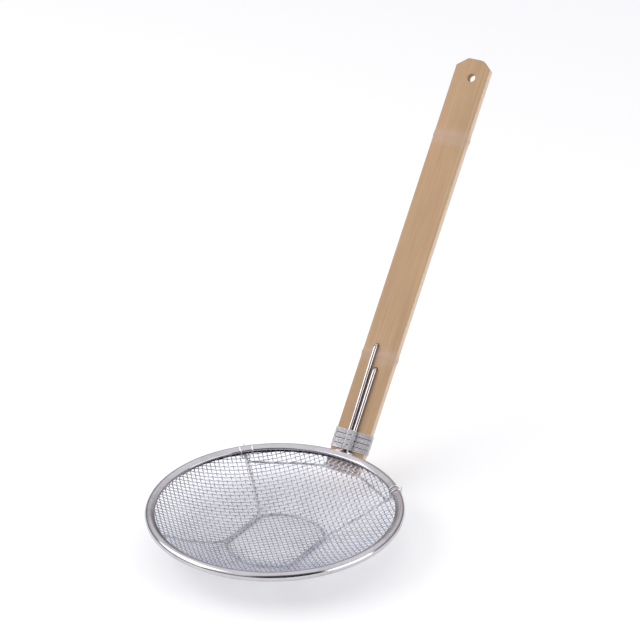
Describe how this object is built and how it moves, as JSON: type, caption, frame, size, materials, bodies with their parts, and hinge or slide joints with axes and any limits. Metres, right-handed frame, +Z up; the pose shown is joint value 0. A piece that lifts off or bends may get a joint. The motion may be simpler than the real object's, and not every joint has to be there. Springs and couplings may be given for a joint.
{
  "type": "noodle strainer",
  "caption": "Shallow woven wire noodle strainer with a rolled rim, a wire base and legs, and a long flat bamboo handle bound on with wire.",
  "frame": {"origin": "middle of the strainer's length and width, at the height of the base ring's underside", "axes": "+Z up out of the level bowl, +X from the bowl towards the handle's tip, +Y to the left seen from the bowl looking at the handle"},
  "size_m": [0.4252, 0.2098, 0.3154],
  "materials": {
    "bamboo": "smooth sanded bamboo, unlacquered",
    "bright_steel": "polished stainless steel",
    "wire_steel": "drawn stainless steel wire"
  },
  "bodies": {
    "root": {"bamboo_handle": "bamboo", "rim_band": "bright_steel", "rim_core_wire": "bright_steel", "mesh_warp": "wire_steel", "mesh_weft": "wire_steel", "base_ring": "wire_steel", "support_wire_left": "wire_steel", "support_wire_right": "wire_steel", "handle_brace": "wire_steel", "handle_binding": "bright_steel", "rim_tie_left": "bright_steel", "rim_tie_right": "bright_steel"}
  },
  "joints": []
}
